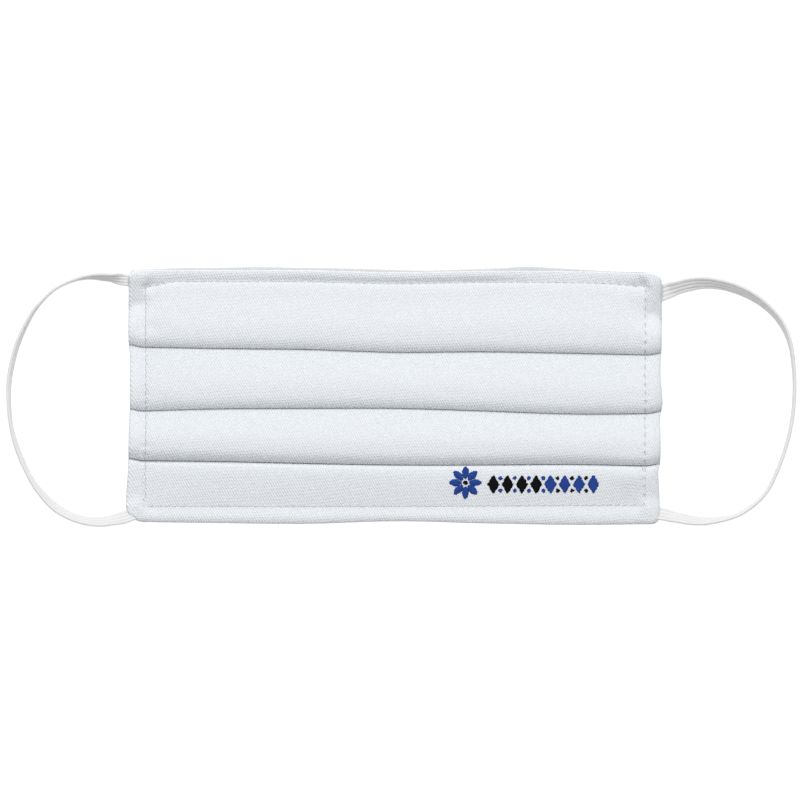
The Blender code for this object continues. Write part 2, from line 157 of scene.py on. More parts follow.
# Corners. "radius" is a share of CORNER_RADIUS. The rest is about the strap where it goes in:
# "mouth" is how far its middle is from the nominal top or bottom edge, in millimetres, "slope" is
# how steeply it runs inwards, towards the middle of the side, and "lean" how far it is turned up
# on its edge, in degrees. "width" is the share of its width that the seam leaves it. "fade" is how
# far the cloth over it takes to come down towards the middle of the side, in millimetres.
Corner = namedtuple("Corner", "side end radius mouth slope lean width fade")
CORNERS = (
    Corner("left", "top", 1.0, 4.35, 9, 8, 0.72, 3.0),
    Corner("left", "bottom", 2.0, 2.7, 22, 19, 0.80, 3.0),
    Corner("right", "top", 1.1, 8.9, 18, 6, 1.00, 2.2),
    Corner("right", "bottom", 1.0, 3.3, 10, 19, 0.80, 4.0),
)

# Along the body: how high the top hem stands over its stitches, as a share of WELT_FALL, and how
# high the last panel is crowned, as a share of LAST_PANEL_CROWN
Swell = namedtuple("Swell", "across welt crown")
SWELLS = (
    Swell(0.00, 1.9, 0.50),
    Swell(0.03, 1.6, 0.55),
    Swell(0.06, 0.9, 0.60),
    Swell(0.12, 0.6, 0.70),
    Swell(0.24, 0.65, 0.90),
    Swell(0.32, 0.9, 0.95),
    Swell(0.40, 1.0, 1.00),
    Swell(0.66, 1.1, 1.00),
    Swell(0.72, 0.7, 1.00),
    Swell(0.77, 0.3, 1.00),
    Swell(0.88, 0.25, 1.00),
    Swell(0.94, 0.8, 1.00),
    Swell(0.97, 1.9, 1.00),
    Swell(1.00, 2.3, 1.00),
)

# The edge of the lining: how far it shows above the top hem along the body, in millimetres
Rim = namedtuple("Rim", "across shows")
RIMS = (
    Rim(0.00, 0.0),
    Rim(0.03, 0.2),
    Rim(0.06, 0.4),
    Rim(0.10, 0.7),
    Rim(0.15, 0.8),
    Rim(0.24, 1.1),
    Rim(0.33, 0.85),
    Rim(0.46, 1.0),
    Rim(0.57, 0.5),
    Rim(0.63, 0.65),
    Rim(0.70, 1.0),
    Rim(0.75, 1.5),
    Rim(0.80, 1.05),
    Rim(0.86, 0.6),
    Rim(0.91, 0.35),
    Rim(0.96, 0.5),
    Rim(0.98, 0.2),
    Rim(1.00, 0.0),
)

# Side edges: how far each stands out from its nominal line, in millimetres, by share of the height
Side = namedtuple("Side", "down left right")
SIDES = (
    Side(0.00, -0.1, 0.3),
    Side(0.28, 0.0, 0.25),
    Side(0.36, -0.6, 0.0),
    Side(0.42, -0.5, -0.2),
    Side(0.53, -0.5, 0.5),
    Side(0.59, -0.3, -0.3),
    Side(0.65, -0.1, -0.2),
    Side(0.76, 0.1, -0.3),
    Side(0.80, 0.3, -1.0),
    Side(0.86, 0.7, -0.7),
    Side(0.93, 1.0, -0.4),
    Side(1.00, 0.6, -0.4),
)

# Ear loops, from the top corner round to the bottom one, as in the solids
Bend = namedtuple("Bend", "out down lean")
LEFT_BENDS = (
    Bend(0.19, 0.036, 66),
    Bend(0.34, 0.035, 79),
    Bend(0.49, 0.053, 88),
    Bend(0.62, 0.085, 89),
    Bend(0.73, 0.133, 87),
    Bend(0.82, 0.190, 82),
    Bend(0.93, 0.303, 78),
    Bend(0.99, 0.420, 79),
    Bend(1.00, 0.510, 82),
    Bend(0.98, 0.620, 84),
    Bend(0.92, 0.718, 79),
    Bend(0.81, 0.830, 78),
    Bend(0.71, 0.892, 70),
    Bend(0.61, 0.938, 65),
    Bend(0.48, 0.973, 65),
    Bend(0.34, 0.992, 63),
    Bend(0.20, 0.993, 56),
)
RIGHT_BENDS = (
    Bend(0.19, 0.067, 36),
    Bend(0.32, 0.058, 47),
    Bend(0.45, 0.065, 55),
    Bend(0.58, 0.085, 58),
    Bend(0.70, 0.116, 64),
    Bend(0.81, 0.160, 71),
    Bend(0.90, 0.215, 74),
    Bend(0.96, 0.283, 80),
    Bend(0.99, 0.370, 84),
    Bend(1.00, 0.480, 86),
    Bend(0.98, 0.600, 86),
    Bend(0.93, 0.710, 86),
    Bend(0.86, 0.807, 86),
    Bend(0.79, 0.877, 86),
    Bend(0.70, 0.926, 85),
    Bend(0.58, 0.966, 82),
    Bend(0.46, 0.984, 77),
    Bend(0.32, 0.992, 66),
    Bend(0.19, 0.985, 56),
)

# How fine each ply's mesh is: its step across the body, and its steps down and round the pleats
Fineness = namedtuple("Fineness", "across hem slope top fold turn hidden last arc")
FINE = Fineness(0.85 * MM, 0.5 * MM, 19, 11, 11, 5, 3, 20, 9)
COARSE = Fineness(2.5 * MM, 1.2 * MM, 8, 6, 8, 5, 2, 10, 6)
SLOPE_CROWDING = 1.6

# Dents and swellings of the front, by where their middles are, in millimetres from the middle of
# the body and from the nominal top edge. "long" and "wide" are half sizes in millimetres, "turn" is
# degrees from the x axis towards the bottom, and "depth" is a share of the height, less than 0
# where the cloth swells. A dent ends at DENT_REACH times its larger half size.
DENT_REACH = 3
Dent = namedtuple("Dent", "x down long wide turn depth")
DENTS = (
    Dent(-92.0, 3.4, 5.5, 2.8, 0, -0.22),
    Dent(-88.2, 6.8, 1.5, 1.0, -30, 0.45),
    Dent(-87.6, 21.0, 4.0, 2.4, 0, 0.20),
    Dent(88.6, 6.0, 2.7, 1.0, 60, 0.52),
    Dent(93.4, 4.2, 3.0, 5.0, 0, -0.15),
    Dent(84.6, 9.6, 6.0, 4.0, 0, -0.14),
    Dent(-91.6, 85.6, 5.0, 3.0, -22, -0.15),
    Dent(84.0, 74.5, 7.0, 5.5, 0, -0.35),
    Dent(91.0, 86.6, 5.0, 2.2, 10, -0.16),
)

# Wrinkles all over the cloth: their depth as a share of the height, their sizes across and down the
# body in millimetres, and the layer of noise that they come from
Wrinkle = namedtuple("Wrinkle", "depth across down layer")
WRINKLES = (
    Wrinkle(0.04, 34, 17, 0.3),
    Wrinkle(0.025, 11, 7, 5.1),
)

# Lines of topstitching, and how the cloth dips along them
TOP_STITCH = 4.1 * MM
TOP_STITCH_AT_ENDS = 6.7 * MM
BOTTOM_STITCH = 5.9 * MM
BOTTOM_STITCH_SLOPE = 0.006
LEFT_STITCH = 6.1 * MM
RIGHT_STITCH = 5.7 * MM
STITCH_TURN = 12 * MM
TOP_STITCH_PITCH = 2.75 * MM
BOTTOM_STITCH_PITCH = 2.92 * MM
SIDE_STITCH_PITCH = 3.03 * MM
SEAM_HALF_WIDTH = 0.75 * MM
TOP_DIP = 0.24
BOTTOM_DIP = 0.08
SIDE_DIP = 0.14
PUCKER = 0.85
HOLE_SHARE = 0.24
HOLE_REACH = 0.5 * MM
HOLE_SLANT = 0.5
HEM_BOLDER = 0.15
HEM_PALER = 0.2

WallPoint = namedtuple("WallPoint", "down up heading thick")
SIDE_SIGN = {"left": -1, "right": 1}
SIDE_STITCH = {"left": LEFT_STITCH, "right": RIGHT_STITCH}
SIDE_WELT_REACH = {"left": 12.0 * MM, "right": 14.0 * MM}


def blend(start, stop, share):
    return start + (stop - start) * share


def ease(share):
    """0 to 1, starting and ending level."""
    share = min(max(share, 0.0), 1.0)
    return share * share * (3 - 2 * share)


def bump(distance, half_width):
    """1 on a line, falling off smoothly to either side of it."""
    return math.exp(-((distance / half_width) ** 2))


def shares(count):
    """Even shares from just past 0 up to 1."""
    return [(i + 1) / count for i in range(count)]


def smooth_curve(knots, values, at):
    """The value at a place between knots, on one smooth curve through all of them."""
    i = min(max(bisect_right(knots, at) - 1, 0), len(knots) - 2)
    span = knots[i + 1] - knots[i]
    s = (at - knots[i]) / span
    leave = curve_slope(knots, values, i) * span
    arrive = curve_slope(knots, values, i + 1) * span
    start = values[i] * (2 * s**3 - 3 * s**2 + 1) + leave * (s**3 - 2 * s**2 + s)
    stop = values[i + 1] * (3 * s**2 - 2 * s**3) + arrive * (s**3 - s**2)
    return start + stop


def curve_slope(knots, values, i):
    before = max(i - 1, 0)
    after = min(i + 1, len(knots) - 1)
    return (values[after] - values[before]) / (knots[after] - knots[before])


# Lines and edges of the body

def curves(rows, unit=1.0):
    """For each column of a table but the first, its knots and its values."""
    knots = [row[0] for row in rows]
    names = rows[0]._fields[1:]
    return {name: (knots, [getattr(row, name) * unit for row in rows]) for name in names}


LINE_CURVES = curves(LINES)
SWELL_CURVES = curves(SWELLS)
RIM_CURVES = curves(RIMS, MM)
SIDE_CURVES = curves(SIDES, MM)


def across_body(curve, x):
    return smooth_curve(*curve, x / BODY_WIDTH + 0.5)


def line_down(name, x):
    """How far below the nominal top edge a line lies at x, with no corners rounded."""
    return BODY_HEIGHT * across_body(LINE_CURVES[name], x)


def swell_share(name, x):
    return across_body(SWELL_CURVES[name], x)


def lining_shows(x):
    return across_body(RIM_CURVES["shows"], x)


def side_distance(x):
    return BODY_WIDTH / 2 - abs(x)


def side_of(x):
    return "left" if x < 0 else "right"


def past_side_stitches(x):
    """How far x is from the nearer side's row of stitches, more than 0 between the rows."""
    return side_distance(x) - SIDE_STITCH[side_of(x)]


def corner_at(x, end):
    return next(c for c in CORNERS if c.side == side_of(x) and c.end == end)


def corner_cut(x, end):
    """How much the rounded corner takes off the top or bottom edge at x."""
    radius = CORNER_RADIUS * corner_at(x, end).radius
    inside = radius - side_distance(x)
    if inside <= 0:
        return 0.0
    return radius - math.sqrt(max(radius**2 - inside**2, 0.0))


def top_edge(x):
    return line_down("top", x) + corner_cut(x, "top")


def bottom_edge(x):
    return line_down("bottom", x) - corner_cut(x, "bottom")


def fold_down(name, x):
    lift = FOLD_END_LIFT * (1 - ease(side_distance(x) / HEM_WIDTH))
    return line_down(name, x) - lift


def edge_share(distance, rounding):
    """The share of the wall's thickness that is left this near to an edge."""
    near = max(1 - distance / rounding, 0.0)
    return max(math.sqrt(max(1 - near**2, 0.0)), EDGE_SHARE)


def side_wave(x, down):
    """How far the side edge near x stands out, fading towards the middle of the body."""
    share = min(max(down / BODY_HEIGHT, 0.0), 1.0)
    out = smooth_curve(*SIDE_CURVES[side_of(x)], share)
    fade = 1 - ease(side_distance(x) / SIDE_WAVE_REACH)
    return out * fade * SIDE_SIGN[side_of(x)]


# Corner pads, where the ends of the ear loops are sewn in

def pocket_mouth(corner):
    x = SIDE_SIGN[corner.side] * BODY_WIDTH / 2
    inset = corner.mouth * MM
    if corner.end == "top":
        return Vector((x, inset))
    return Vector((x, BODY_HEIGHT - inset))


def pocket_direction(corner):
    slope = math.radians(corner.slope)
    inwards = -SIDE_SIGN[corner.side] * math.cos(slope)
    downwards = math.sin(slope) if corner.end == "top" else -math.sin(slope)
    return Vector((inwards, downwards))


POCKETS = [(pocket_mouth(c), pocket_direction(c), c) for c in CORNERS]


def pad_share(x, down):
    """1 where the cloth swells over a sewn end, fading to 0 around it and at the edges."""
    if side_distance(x) > PAD_REACH + PAD_FADE:
        return 0.0
    pad = max(one_pad_share(*pocket, x, down) for pocket in POCKETS)
    edge = min(down - top_edge(x), bottom_edge(x) - down)
    return pad * ease(edge / PAD_PINCH)


def one_pad_share(mouth, direction, corner, x, down):
    from_mouth = Vector((x, down)) - mouth
    along = from_mouth.dot(direction)
    aside = from_mouth - along * direction
    inwards = aside.y > 0 if corner.end == "top" else aside.y < 0
    fade = corner.fade * MM if inwards else PAD_FADE
    past_end = (along - PAD_LENGTH) / PAD_FADE
    past_side = (aside.length - STRAP_WIDTH * corner.width / 2) / fade
    return (1 - ease(past_end)) * (1 - ease(past_side))


# Relief: how much all layers at a place are squashed or swollen

def top_stitch_down(x):
    end = 1 - ease((side_distance(x) - LEFT_STITCH) / STITCH_TURN)
    return blend(line_down("top", x) + TOP_STITCH, TOP_STITCH_AT_ENDS, end)


def bottom_stitch_down(x):
    return BODY_HEIGHT - BOTTOM_STITCH - BOTTOM_STITCH_SLOPE * max(x, 0.0)


def pucker(along, pitch):
    """Deepest where the needle went in, shallower under the middle of a stitch."""
    return 1 - PUCKER * (0.5 - 0.5 * math.cos(2 * math.pi * along / pitch))


def dent(row, x, down):
    """The share by which one dent lowers a place."""
    from_middle = Vector((x - row.x * MM, down - row.down * MM))
    if from_middle.length > DENT_REACH * max(row.long, row.wide) * MM:
        return 0.0
    turn = math.radians(row.turn)
    along = from_middle.dot(Vector((math.cos(turn), math.sin(turn))))
    aside = from_middle.dot(Vector((-math.sin(turn), math.cos(turn))))
    return row.depth * bump(along, row.long * MM) * bump(aside, row.wide * MM)


def seam_dips(x, down):
    """How far the rows of stitches pull the cloth in."""
    from_top, from_bottom, from_side = seam_distances(x, down)
    between_sides = ease(from_side / SEAM_HALF_WIDTH + 1)
    between_ends = ease(min(from_top, from_bottom) / SEAM_HALF_WIDTH + 1)
    top = bump(from_top, SEAM_HALF_WIDTH) * pucker(x, TOP_STITCH_PITCH)
    bottom = bump(from_bottom, SEAM_HALF_WIDTH) * pucker(x, BOTTOM_STITCH_PITCH)
    side = bump(from_side, SEAM_HALF_WIDTH) * pucker(down, SIDE_STITCH_PITCH)
    hems = TOP_DIP * top + BOTTOM_DIP * bottom
    return between_sides * hems + SIDE_DIP * between_ends * side


def seam_distances(x, down):
    """Distances from the rows of stitches, more than 0 towards the middle of the body."""
    from_top = down - top_stitch_down(x)
    from_bottom = bottom_stitch_down(x) - down
    return from_top, from_bottom, past_side_stitches(x)


def wrinkle(row, x, down):
    """The share by which one kind of wrinkle raises or lowers a place."""
    place = Vector((x / (row.across * MM), down / (row.down * MM), row.layer))
    return row.depth * noise.noise(place)


def relief(x, down):
    wrinkles = sum(wrinkle(row, x, down) for row in WRINKLES)
    pressed = FOLD_PRESS * sum(bump(down - fold_down(f, x), PRESS_HALF_WIDTH) for f in FOLDS)
    dents = sum(dent(row, x, down) for row in DENTS)
    return (1 + wrinkles - seam_dips(x, down)) * (1 - pressed) * (1 - dents)


# Sections of the wall, from the top edge to the bottom edge

def front_height(x, down):
    """The height of the wall's front where it lies on the surface under it."""
    if down < BODY_HEIGHT / 2:
        plain = top_hem_height(x, down - top_edge(x))
    else:
        plain = bottom_hem_height(x, down)
    return blend(plain, max(plain, PAD_THICKNESS), pad_share(x, down))


def inside_share(x):
    """0 on the side hems and 1 between them."""
    return ease(past_side_stitches(x) / SEAM_HALF_WIDTH + 0.5)


def welt_reach(x):
    """How far from the top edge the welt ends: at its stitches, but further on the side hems."""
    stitches = top_stitch_down(x) - top_edge(x)
    return blend(SIDE_WELT_REACH[side_of(x)], stitches, inside_share(x))


def welt_foot(x):
    """Where the first panel begins to climb: lower near the side hems, past their welts."""
    past_side = ease(past_side_stitches(x) / CLIMB_EVENS_OUT)
    return top_edge(x) + blend(SIDE_WELT_REACH[side_of(x)], TOP_HEM_END, past_side)


def top_hem_height(x, from_edge):
    """A welt that falls to its stitches, and the cloth past them."""
    width = welt_reach(x)
    stitched = blend(WALL, STITCHED_HEIGHT, inside_share(x))
    past = from_edge - width
    if past > 0:
        left = max(1 - past / PUFF_LENGTH, 0.0)
        swollen = stitched + PUFF_PAST_STITCHES * inside_share(x) * (1 - left**2)
        return blend(swollen, WALL, ease(past / PAST_STITCHES))
    share = max((from_edge - WELT_CREST) / (width - WELT_CREST), 0.0)
    fall = blend(share**SIDE_FALL_POWER, ease(share), inside_share(x))
    crest = STITCHED_HEIGHT + WELT_FALL * swell_share("welt", x)
    return blend(crest, stitched, fall)


def bottom_hem_height(x, down):
    """A hem that swells past its stitches and is rounded down to the bottom edge."""
    hem = ease((down - bottom_stitch_down(x)) / HEM_RISE)
    return blend(WALL, HEM_THICKNESS, hem) * edge_share(bottom_edge(x) - down, BOTTOM_ROUND)


def underside(x, down):
    """The height of the wall's back, which is raised over the edge of the lining."""
    past_lining = ease((down - top_edge(x) - LINING_TUCK) / LINING_TUCK)
    return LINING_LIFT * (1 - past_lining) * (1 - pad_share(x, down))


def thickness(x, down):
    return front_height(x, down) - underside(x, down)


def lying_height(x, down):
    return (front_height(x, down) + underside(x, down)) / 2


def puff(x):
    return FOLD_PUFF * blend(PUFF_AT_SIDES, 1.0, ease(side_distance(x) / PUFF_GROWS_OVER))


def fold_radius(x):
    return (PITCH + puff(x)) / 2


def fold_centre(fold, x):
    return fold_down(fold, x) - WALL / 2 - fold_radius(x)


def turn_centre(fold, x):
    return fold_down(fold, x) - PLEAT_DEPTH


def slope_end(fold, x):
    """Where a panel has risen to the top layer, just above the hidden turn of the next pleat."""
    return turn_centre(fold, x) - PITCH / 2 - WALL


def fold_start(fold, x):
    """Where the top layer meets the round of its fold, already tilted down: down, and up."""
    radius = fold_radius(x)
    down = fold_centre(fold, x) + radius * math.sin(FOLD_TILT)
    return down, MIDDLE_LAYER + radius * (1 + math.cos(FOLD_TILT))


def top_layer_height(fold, x, down):
    """The top layer, which leaves its slope level and falls at the fold's tilt to the fold."""
    crest = crest_down(fold, x)
    end_down, end_up = fold_start(fold, x)
    length = end_down - crest
    share = (down - crest) / length
    power = FALL_POWERS[fold]
    fall = math.tan(FOLD_TILT) * length / power
    return end_up + fall * (1 - share**power)


def crest_down(fold, x):
    """Where the top layer is highest, a little past the hidden turn of the next pleat."""
    return slope_end(fold, x) + CREST_PAST_SLOPE


def run_of_wall(places, height, thick):
    """Wall points at these distances down, where height(down) gives the middle of the wall."""
    step = WALL / 4
    points = []
    for down in places:
        rise = (height(down + step) - height(down - step)) / (2 * step)
        points.append(WallPoint(down, height(down), math.atan(rise), thick(down)))
    return points


def pleat(fold, x, fine):
    """Round the fold, back up behind it, round the hidden turn and down below it."""
    points = []
    radius = fold_radius(x)
    centre = fold_centre(fold, x)
    for share in shares(fine.fold):
        angle = blend(math.pi / 2 - FOLD_TILT, -math.pi / 2, share)
        down = centre + radius * math.cos(angle)
        up = MIDDLE_LAYER + radius + radius * math.sin(angle)
        points.append(WallPoint(down, up, angle - math.pi / 2, WALL))
    turn = turn_centre(fold, x)
    for share in shares(fine.hidden):
        points.append(WallPoint(blend(centre, turn, share), MIDDLE_LAYER, -math.pi, WALL))
    radius = PITCH / 2
    for share in shares(fine.turn):
        angle = math.pi * (0.5 + share)
        down = turn + radius * math.cos(angle)
        up = LOW_LAYER + radius + radius * math.sin(angle)
        points.append(WallPoint(down, up, angle + math.pi / 2, WALL))
    for share in shares(fine.hidden):
        down = blend(turn, fold_down(fold, x), share)
        points.append(WallPoint(down, LOW_LAYER, 0.0, WALL))
    return points


def panel(start, fold, x, low_height, thick, fine):
    """From where a panel shows, up its slope and along the top layer to the next fold."""
    step = 0.0 if fold == FOLDS[0] else STEP_SHARE
    foot = max(start, welt_foot(x))
    crest = crest_down(fold, x)
    crest_height = top_layer_height(fold, x, crest)

    def height(down):
        climb = ease((down - foot) / (crest - foot))
        climb = blend(climb, 1.0, step * ease((down - start) / STEP_LENGTH))
        if down < crest:
            return blend(low_height(down), crest_height, climb)
        return top_layer_height(fold, x, down)

    slope = [blend(start, crest, share**SLOPE_CROWDING) for share in shares(fine.slope)]
    top = [blend(crest, fold_start(fold, x)[0], share) for share in shares(fine.top)]
    return run_of_wall(slope + top, height, thick)


def last_panel(start, x, low_height, thick, fine):
    """From the last fold to the bottom edge: up at once, and then slowly down to its hem."""
    highest = LAST_PANEL_CROWN * swell_share("crown", x)
    crown_end = bottom_stitch_down(x)
    hem_start = bottom_edge(x) - BOTTOM_HEM_END

    def height(down):
        share = min(max((down - start) / (crown_end - start), 0.0), 1.0)
        crown = highest * ease(share / CROWN_RISE) * (1 - share**CROWN_POWER)
        return low_height(down) + crown * (1 - pad_share(x, down))

    shown = [blend(start, hem_start, share**SLOPE_CROWDING) for share in shares(fine.last)]
    hem = [bottom_edge(x) - place for place in reversed(hem_places(BOTTOM_HEM_END, fine)[:-1])]
    return run_of_wall(shown + hem, height, thick)


def hem_places(end, fine):
    """Distances from an edge to the end of its hem, close together where the edge is rounded."""
    rounded = [EDGE_ROUND * share for share in EDGE_PLACES]
    count = round((end - EDGE_ROUND) / fine.hem)
    return rounded + [blend(EDGE_ROUND, end, i / count) for i in range(count + 1)]


def wall_section(x, fine):
    """The middle line of the wall at x."""

    def thick(down):
        return thickness(x, down)

    def lying(down):
        return lying_height(x, down)

    hem = [top_edge(x) + place for place in hem_places(TOP_HEM_END, fine)]
    points = run_of_wall(hem, lying, thick)
    start = top_edge(x) + TOP_HEM_END
    for fold in FOLDS:
        points += panel(start, fold, x, lying, thick, fine)
        points += pleat(fold, x, fine)
        start = fold_down(fold, x)
    return points + last_panel(start, x, lying, thick, fine)


def stations(fine):
    """Places across the body, close together round the corners."""
    largest = CORNER_RADIUS * max(corner.radius for corner in CORNERS)
    arc = [largest * (1 - math.cos(math.pi / 2 * i / fine.arc)) for i in range(fine.arc)]
    inner = BODY_WIDTH - 2 * largest
    count = round(inner / fine.across)
    middle = [largest + inner * i / count for i in range(count + 1)]
    places = arc + middle + [BODY_WIDTH - place for place in reversed(arc)]
    return [place - BODY_WIDTH / 2 for place in places]


def in_space(x, down, up):
    """A place on the body in the frame's axes, with the side edges' waves and the relief."""
    return (MIDDLE_X + x + side_wave(x, down), TOP_Y - down, up * relief(x, down))


# Meshes

def new_piece(name, vertices, faces, material, smooth=True):
    mesh = bpy.data.meshes.new(name)
    mesh.from_pydata(vertices, [], faces)
    mesh.validate()
    if smooth:
        mesh.shade_smooth()
    mesh.materials.append(material)
    piece = bpy.data.objects.new(name, mesh)
    bpy.context.scene.collection.objects.link(piece)
    return piece


def set_map(piece, name, places):
    """Store a place for each vertex as a map that a material draws in."""
    mesh = piece.data
    layer = mesh.uv_layers.new(name=name)
    corners = np.empty(len(mesh.loops), dtype=np.int32)
    mesh.loops.foreach_get("vertex_index", corners)
    layer.data.foreach_set("uv", np.asarray(places, dtype=np.float32)[corners].ravel())


def hem_seam_place(x, down):
    """Distance from the top or bottom row of stitches, and the stitches along it, slanted."""
    from_top, from_bottom, _ = seam_distances(x, down)
    along = x - HOLE_SLANT * down
    if from_top < from_bottom:
        return from_top, along / TOP_STITCH_PITCH
    return from_bottom, along / BOTTOM_STITCH_PITCH


def side_seam_place(x, down):
    """Distance from the row of stitches at the side, and the stitches along it, slanted."""
    return seam_distances(x, down)[2], (down - HOLE_SLANT * x) / SIDE_STITCH_PITCH


def ply_piece(name, front, fine, material):
    """One ply of the wall: the one at its front, or the one at its back."""
    places = stations(fine)
    sections = [wall_section(x, fine) for x in places]
    sides = {1: [], -1: []}
    flats = []
    for x, section in zip(places, sections):
        flats += flat_row(x, section)
        for side, points in sides.items():
            points += ply_row(x, section, front, side)
    vertices = sides[1] + sides[-1]
    piece = new_piece(name, vertices, ribbon_faces(len(sections), len(sections[0])), material)
    outward(piece)
    set_map(piece, "flat", flats * 2)
    spots = [(x, point.down) for x, section in zip(places, sections) for point in section]
    set_map(piece, "hem_seams", [hem_seam_place(*spot) for spot in spots] * 2)
    set_map(piece, "side_seams", [side_seam_place(*spot) for spot in spots] * 2)
    return piece


def flat_row(x, section):
    """Places on the flat cloth, from the top edge down along its pleats."""
    places = []
    cloth = 0.0
    before = section[0]
    for point in section:
        cloth += math.hypot(point.down - before.down, point.up - before.up)
        before = point
        places.append((x, cloth))
    return places


def ply_row(x, section, front, side):
    """Points on the upper (1) or lower (-1) side of a ply at x."""
    row = []
    for point in section:
        share = wall_share(x, point.down, section)
        half = half_thickness(x, point, share)
        middle = (half - PLY / 2 * share) * (1 if front else -1)
        offset = middle + side * PLY / 2 * share
        down = point.down - math.sin(point.heading) * offset
        up = point.up + math.cos(point.heading) * offset
        row.append(in_space(x, down, up))
    return row


def half_thickness(x, point, share):
    """Half the wall's thickness, which shrinks to the two plies alone where its edge is sewn."""
    mouth = pad_share(x, point.down) ** MOUTH_CLOSING
    opened = max(ease((share - EDGE_SHARE) / CLOSING_SHARE), mouth)
    return blend(PLY * share + SEWN_GAP / 2, point.thick / 2 * share, opened)


def wall_share(x, down, section):
    """The share of the wall's thickness at a place, less near the rounded edges."""
    from_end = min(abs(section[-1].down - down), side_distance(x))
    from_top = abs(down - section[0].down)
    return min(edge_share(from_end, EDGE_ROUND), edge_share(from_top, TOP_ROUND))


def ribbon_faces(count, length):
    """Faces of a closed ribbon: an upper grid, a lower grid and the rim between them."""
    size = count * length
    faces = []
    for i in range(count - 1):
        for j in range(length - 1):
            a = i * length + j
            b = a + length
            faces.append((a, a + 1, b + 1, b))
            faces.append((a + size, b + size, b + 1 + size, a + 1 + size))
    for i in range(count - 1):
        for j, flip in ((0, False), (length - 1, True)):
            a = i * length + j
            b = a + length
            face = (a, b, b + size, a + size)
            faces.append(face[::-1] if flip else face)
    for j in range(length - 1):
        for i, flip in ((0, True), (count - 1, False)):
            a = i * length + j
            face = (a, a + 1, a + 1 + size, a + size)
            faces.append(face if flip else face[::-1])
    return faces


def outward(piece):
    """Turn a closed mesh's faces outwards."""
    builder = bmesh.new()
    builder.from_mesh(piece.data)
    bmesh.ops.recalc_face_normals(builder, faces=builder.faces)
    builder.to_mesh(piece.data)
    builder.free()
    return piece


# Node materials

WHITE = (1.0, 1.0, 1.0, 1.0)
NOISE_DETAIL = 2.0

# The weave: its stripes, their drift and the fuzz over them, which add up to a height of about 0 to
# 1, and the needle holes that are taken off it, where painted shade also darkens the colour
DRIFT = 3.5
DRIFT_SCALE = 260.0
TWILL_AMOUNT = 0.38
YARN_AMOUNT = 0.2
YARN_ANGLE = 2.0
YARN_PITCH_SHARE = 0.62
FUZZ_AMOUNT = 1.3
FUZZ_SCALE = 1700.0
WEAVE_LEVEL = 0.1
HOLE_DEPTH = 0.8
# The needle holes darken the cloth's colour towards this: painted shade in the holes
HOLE_SHADE = 0.24
HOLE_SHADE_COLOUR = (0.1, 0.1, 0.11)
ROW_HALF_WIDTH = 0.1 * MM
CROSSING_REACH = 0.6 * MM
HEM_BLUR = 0.5 * MM
COTTON_SURFACE = {
    "Roughness": 0.92,
    "Specular IOR Level": 0.2,
    "Sheen Weight": 0.08,
    "Sheen Roughness": 0.5,
}

# The two cloths: their darkest and lightest colours, the pitch and angle of their stripes, and how
# far the weave stands up
Cloth = namedtuple("Cloth", "name low high pitch angle depth")
TWILL = Cloth("twill_cotton", (0.697, 0.726, 0.757), (0.818, 0.848, 0.877), 0.82 * MM, 62.0, 0.16 * MM)
# The lining's colours are greyer than its creamy white cotton: painted shade, so that its rolled rim,
# which faces the light, does not show too bright
PLAIN = Cloth("plain_cotton", (0.57, 0.58, 0.59), (0.67, 0.68, 0.69), 0.6 * MM, 88.0, 0.05 * MM)

# The elastic's knit, and the painted shade in the grooves between its ribs
KNIT_ACROSS = 0.62 * MM
KNIT_ALONG = 0.31 * MM
KNIT_AMOUNT = 0.12
KNIT_LEVEL = 0.5
KNIT_BUMP = 0.08 * MM
GROOVE_START = 0.36
GROOVE_SHADE = 0.3
GROOVE_SHADE_COLOUR = (0.25, 0.25, 0.25)
ELASTIC_LOW = (0.69, 0.69, 0.69)
ELASTIC_HIGH = (0.79, 0.79, 0.79)
ELASTIC_SURFACE = {"Roughness": 0.7, "Sheen Weight": 0.1}

# Thread: its spots, how much darker they are, and each kind's colour and shine
THREAD_SPOTS = 1800.0
THREAD_DARKER = 0.35
THREAD_BUMP = 0.05 * MM
THREAD_ROUGHNESS = 0.5
Thread = namedtuple("Thread", "colour shine")
THREADS = {
    "white_thread": Thread((0.82, 0.84, 0.86), 0.3),
    "blue_thread": Thread((0.03, 0.09, 0.42), 0.08),
    "black_thread": Thread((0.003, 0.004, 0.006), 0.08),
}


def new_material(name):
    material = bpy.data.materials.new(name)
    material.use_nodes = True
    return material, material.node_tree, material.node_tree.nodes["Principled BSDF"]


def set_inputs(node, values):
    for name, value in values.items():
        node.inputs[name].default_value = value


def math_node(tree, operation, first, second=None):
    node = tree.nodes.new("ShaderNodeMath")
    node.operation = operation
    for socket, value in zip(node.inputs, (first, second)):
        if value is None:
            continue
        if hasattr(value, "links"):
            tree.links.new(value, socket)
        else:
            socket.default_value = value
    return node.outputs[0]


def stripes(tree, u, v, direction, pitch, wobble=0.0):
    """A wave from -1 to 1 across stripes that run at this angle, in degrees from the u axis."""
    angle = math.radians(direction)
    across = math_node(tree, "SUBTRACT",
                       math_node(tree, "MULTIPLY", u, math.sin(angle)),
                       math_node(tree, "MULTIPLY", v, math.cos(angle)))
    turns = math_node(tree, "MULTIPLY", across, 2 * math.pi / pitch)
    return math_node(tree, "SINE", math_node(tree, "ADD", turns, wobble))


def range_node(tree, value, low, high):
    """0 below low, 1 above high, and smooth between them."""
    node = tree.nodes.new("ShaderNodeMapRange")
    node.interpolation_type = "SMOOTHSTEP"
    set_inputs(node, {"From Min": low, "From Max": high})
    tree.links.new(value, node.inputs["Value"])
    return node.outputs["Result"]


def noise_node(tree, vector, scale):
    node = tree.nodes.new("ShaderNodeTexNoise")
    set_inputs(node, {"Scale": scale, "Detail": NOISE_DETAIL})
    tree.links.new(vector, node.inputs["Vector"])
    return node.outputs["Fac"]


